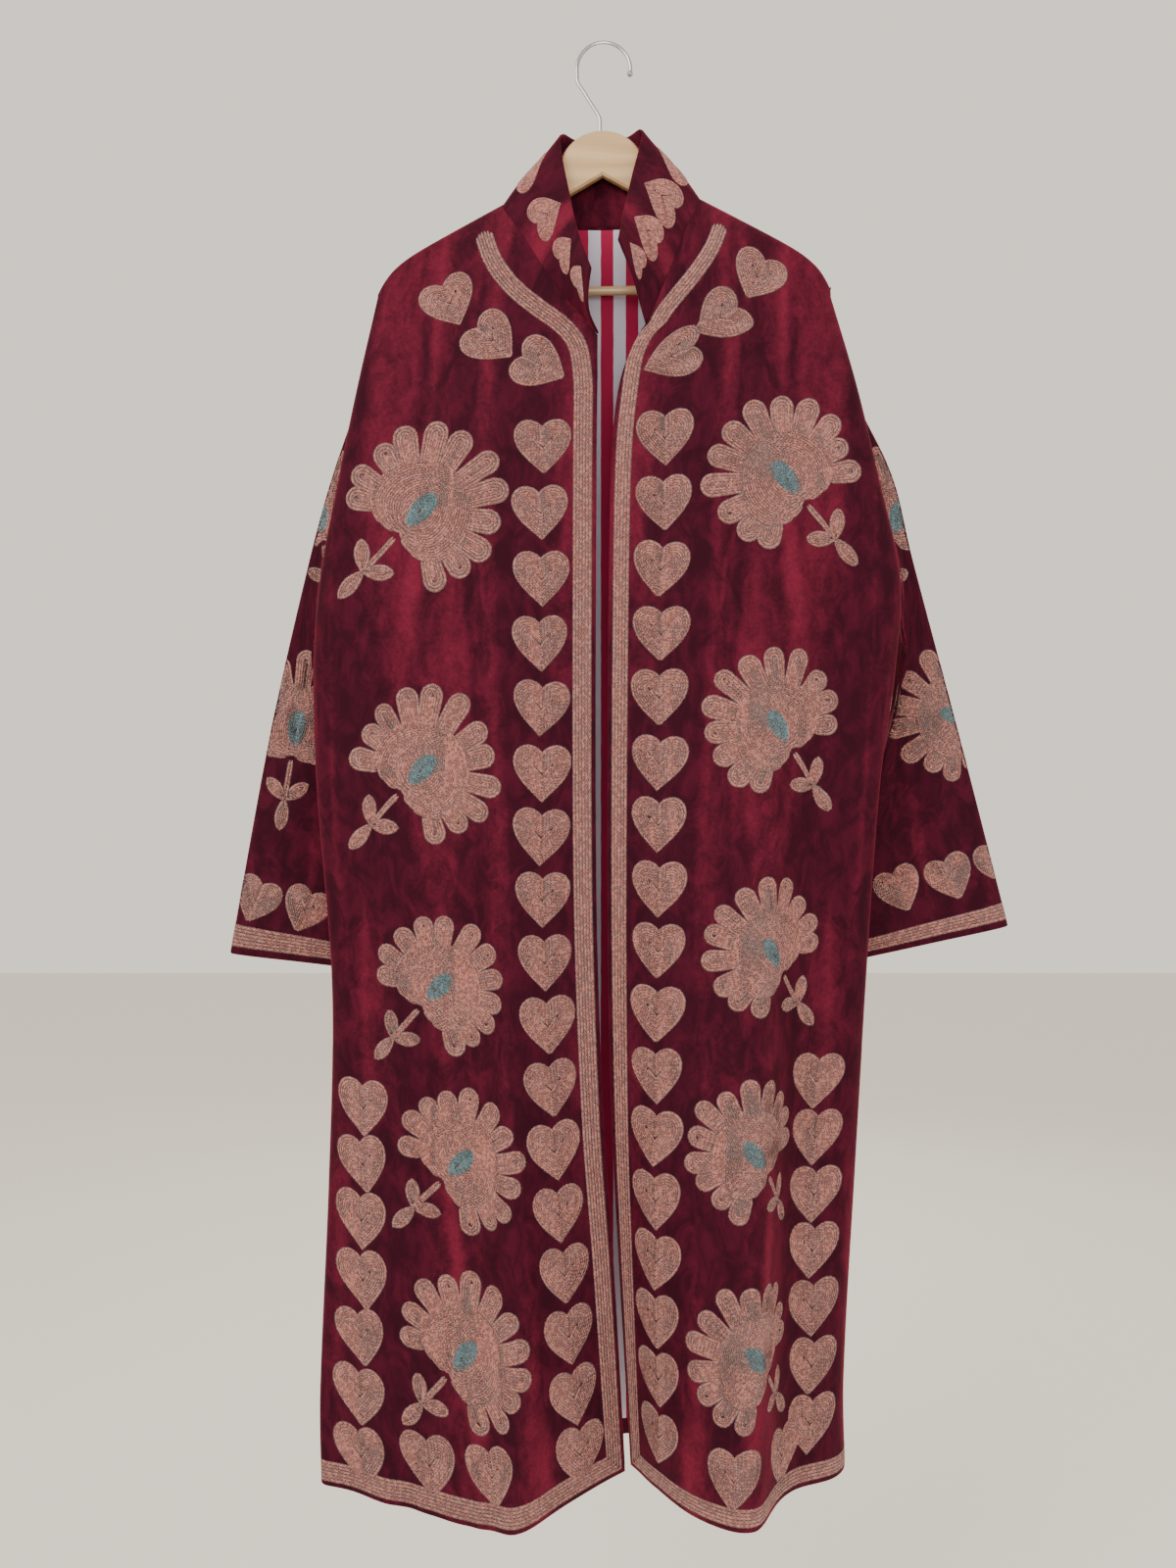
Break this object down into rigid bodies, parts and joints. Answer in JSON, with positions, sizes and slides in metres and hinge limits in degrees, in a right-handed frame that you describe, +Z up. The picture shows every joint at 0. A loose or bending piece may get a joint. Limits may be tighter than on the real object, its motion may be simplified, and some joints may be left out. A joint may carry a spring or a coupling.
{
  "type": "duster coat on a hanger",
  "caption": "Long open velvet coat with a stand collar, wide straight sleeves, side slits and a striped lining, hanging on a flat wooden hanger.",
  "frame": {"origin": "underside of the hook's crown, where the hanger rests on what holds it", "axes": "+Z up, +X to the viewer's right as one looks at the coat's front, +Y away from the viewer towards the coat's back"},
  "size_m": [0.769, 0.181, 1.3617],
  "materials": {
    "velvet": "burgundy cotton velvet with rose chain-stitch embroidery",
    "lining": "plain-woven cotton with crimson and lavender-white stripes",
    "wood": "clear satin varnish on pale wood",
    "steel": "bright drawn wire"
  },
  "bodies": {
    "root": {"front_left": "velvet", "front_right": "velvet", "back": "velvet", "sleeve_left": "velvet", "sleeve_right": "velvet", "collar": "velvet", "front_left_lining": "lining", "front_right_lining": "lining", "back_lining": "lining", "hanger_board": "wood", "hanger_bar": "wood", "hanger_hook": "steel"}
  },
  "joints": []
}
